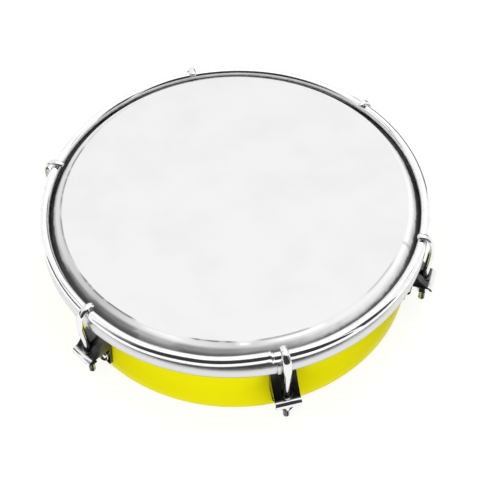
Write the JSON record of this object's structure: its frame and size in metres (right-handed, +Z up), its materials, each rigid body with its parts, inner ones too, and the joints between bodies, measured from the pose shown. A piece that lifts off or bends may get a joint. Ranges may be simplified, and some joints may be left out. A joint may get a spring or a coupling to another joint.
{
  "type": "tamborim",
  "caption": "Small frame drum with a moulded plastic shell, a clear white film head, a chromed rod hoop and hook tuners on brackets.",
  "frame": {"origin": "centre of the shell's lower rim, on the plane it rests on", "axes": "+Z up along the drum's axis, from the open lower rim to the head; -Y points at the tuner nearest the hoop's weld"},
  "size_m": [0.1668, 0.1776, 0.0454],
  "materials": {
    "shell_plastic": "gloss, moulded yellow",
    "head_plastic": "milky film, satin gloss",
    "bond_resin": "set resin",
    "hoop_aluminium": "satin, rolled",
    "hoop_chrome": "bright chrome on steel rod",
    "tuner_chrome": "bright chrome on steel",
    "fastener_steel": "zinc-plated steel"
  },
  "bodies": {
    "root": {"shell": "shell_plastic", "head_film": "head_plastic", "bracket_1": "tuner_chrome", "lug_screw_1": "tuner_chrome", "lug_washer_1": "fastener_steel", "lug_nut_1": "fastener_steel", "bracket_2": "tuner_chrome", "lug_screw_2": "tuner_chrome", "lug_washer_2": "fastener_steel", "lug_nut_2": "fastener_steel", "bracket_3": "tuner_chrome", "lug_screw_3": "tuner_chrome", "lug_washer_3": "fastener_steel", "lug_nut_3": "fastener_steel", "bracket_4": "tuner_chrome", "lug_screw_4": "tuner_chrome", "lug_washer_4": "fastener_steel", "lug_nut_4": "fastener_steel", "bracket_5": "tuner_chrome", "lug_screw_5": "tuner_chrome", "lug_washer_5": "fastener_steel", "lug_nut_5": "fastener_steel", "bracket_6": "tuner_chrome", "lug_screw_6": "tuner_chrome", "lug_washer_6": "fastener_steel", "lug_nut_6": "fastener_steel"},
    "hoop": {"counter_hoop": "hoop_chrome", "flesh_hoop": "hoop_aluminium", "head_bond": "bond_resin"},
    "hook_1": {"hook_1": "tuner_chrome"},
    "nut_1": {"tuning_nut_1": "tuner_chrome"},
    "hook_2": {"hook_2": "tuner_chrome"},
    "nut_2": {"tuning_nut_2": "tuner_chrome"},
    "hook_3": {"hook_3": "tuner_chrome"},
    "nut_3": {"tuning_nut_3": "tuner_chrome"},
    "hook_4": {"hook_4": "tuner_chrome"},
    "nut_4": {"tuning_nut_4": "tuner_chrome"},
    "hook_5": {"hook_5": "tuner_chrome"},
    "nut_5": {"tuning_nut_5": "tuner_chrome"},
    "hook_6": {"hook_6": "tuner_chrome"},
    "nut_6": {"tuning_nut_6": "tuner_chrome"}
  },
  "joints": [
    {"name": "hoop_draw", "type": "slide", "parent": "root", "child": "hoop", "axis": [0, 0, 1], "range_m": [-0.0012, 0], "deforming": ["head_film"]},
    {"name": "nut_1_turn", "type": "hinge", "parent": "root", "child": "nut_1", "pos_m": [0, -0.0843, 0.0138], "axis": [0, 0, -1], "range_deg": [0, 3601]},
    {"name": "hook_1_lift", "type": "slide", "parent": "hoop", "child": "hook_1", "axis": [0, 0, 1], "range_m": [0, 0.005]},
    {"name": "nut_2_turn", "type": "hinge", "parent": "root", "child": "nut_2", "pos_m": [0.07301, -0.04215, 0.0138], "axis": [0, 0, -1], "range_deg": [0, 3601]},
    {"name": "hook_2_lift", "type": "slide", "parent": "hoop", "child": "hook_2", "axis": [0, 0, 1], "range_m": [0, 0.005]},
    {"name": "nut_3_turn", "type": "hinge", "parent": "root", "child": "nut_3", "pos_m": [0.07301, 0.04215, 0.0138], "axis": [0, 0, -1], "range_deg": [0, 3601]},
    {"name": "hook_3_lift", "type": "slide", "parent": "hoop", "child": "hook_3", "axis": [0, 0, 1], "range_m": [0, 0.005]},
    {"name": "nut_4_turn", "type": "hinge", "parent": "root", "child": "nut_4", "pos_m": [0, 0.0843, 0.0138], "axis": [0, 0, -1], "range_deg": [0, 3601]},
    {"name": "hook_4_lift", "type": "slide", "parent": "hoop", "child": "hook_4", "axis": [0, 0, 1], "range_m": [0, 0.005]},
    {"name": "nut_5_turn", "type": "hinge", "parent": "root", "child": "nut_5", "pos_m": [-0.07301, 0.04215, 0.0138], "axis": [0, 0, -1], "range_deg": [0, 3601]},
    {"name": "hook_5_lift", "type": "slide", "parent": "hoop", "child": "hook_5", "axis": [0, 0, 1], "range_m": [0, 0.005]},
    {"name": "nut_6_turn", "type": "hinge", "parent": "root", "child": "nut_6", "pos_m": [-0.07301, -0.04215, 0.0138], "axis": [0, 0, -1], "range_deg": [0, 3601]},
    {"name": "hook_6_lift", "type": "slide", "parent": "hoop", "child": "hook_6", "axis": [0, 0, 1], "range_m": [0, 0.005]}
  ],
  "couplings": [
    {"joint": "nut_1_turn", "follows": "hook_1_lift", "rad_per_m": 12566},
    {"joint": "nut_2_turn", "follows": "hook_2_lift", "rad_per_m": 12566},
    {"joint": "nut_3_turn", "follows": "hook_3_lift", "rad_per_m": 12566},
    {"joint": "nut_4_turn", "follows": "hook_4_lift", "rad_per_m": 12566},
    {"joint": "nut_5_turn", "follows": "hook_5_lift", "rad_per_m": 12566},
    {"joint": "nut_6_turn", "follows": "hook_6_lift", "rad_per_m": 12566}
  ]
}
